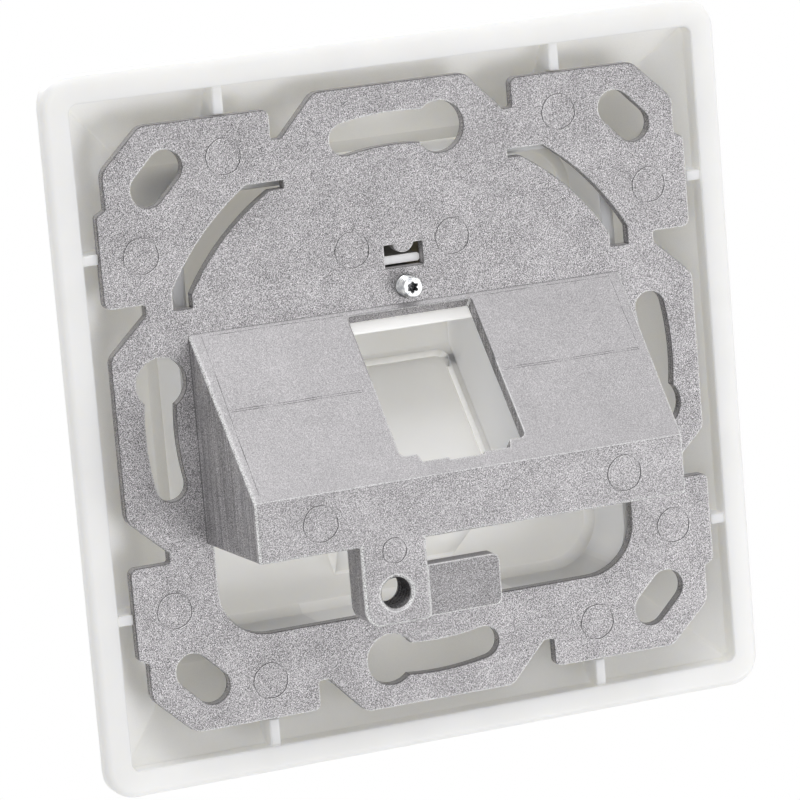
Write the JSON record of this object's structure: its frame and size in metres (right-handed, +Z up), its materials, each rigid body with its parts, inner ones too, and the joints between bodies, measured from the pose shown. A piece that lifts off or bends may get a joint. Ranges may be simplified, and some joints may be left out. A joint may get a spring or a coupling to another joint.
{
  "type": "keystone faceplate",
  "caption": "Square wall plate for one snap-in data jack: moulded surround and centre cover on a die-cast carrier, with a sloping port and a hinged dust flap.",
  "frame": {"origin": "centre of the plate in the plane of the wall it is screwed to", "axes": "+Y into the wall, -Y out into the room, +Z up, +X to the right as seen from the room"},
  "size_m": [0.08, 0.0278, 0.08],
  "materials": {
    "cast_zinc": "as cast, bare",
    "frame_plastic": "satin",
    "cover_plastic": "satin",
    "zinc_plated_steel": "bright plated"
  },
  "bodies": {
    "plate": {"carrier": "cast_zinc", "outer_frame": "frame_plastic", "centre_cover": "cover_plastic", "cover_screw": "zinc_plated_steel"},
    "flap": {"dust_flap": "cover_plastic"}
  },
  "joints": [
    {"name": "flap_hinge", "type": "hinge", "parent": "plate", "child": "flap", "pos_m": [0, -0.0103, 0.00115], "axis": [-1, 0, 0], "range_deg": [0, 100]}
  ]
}
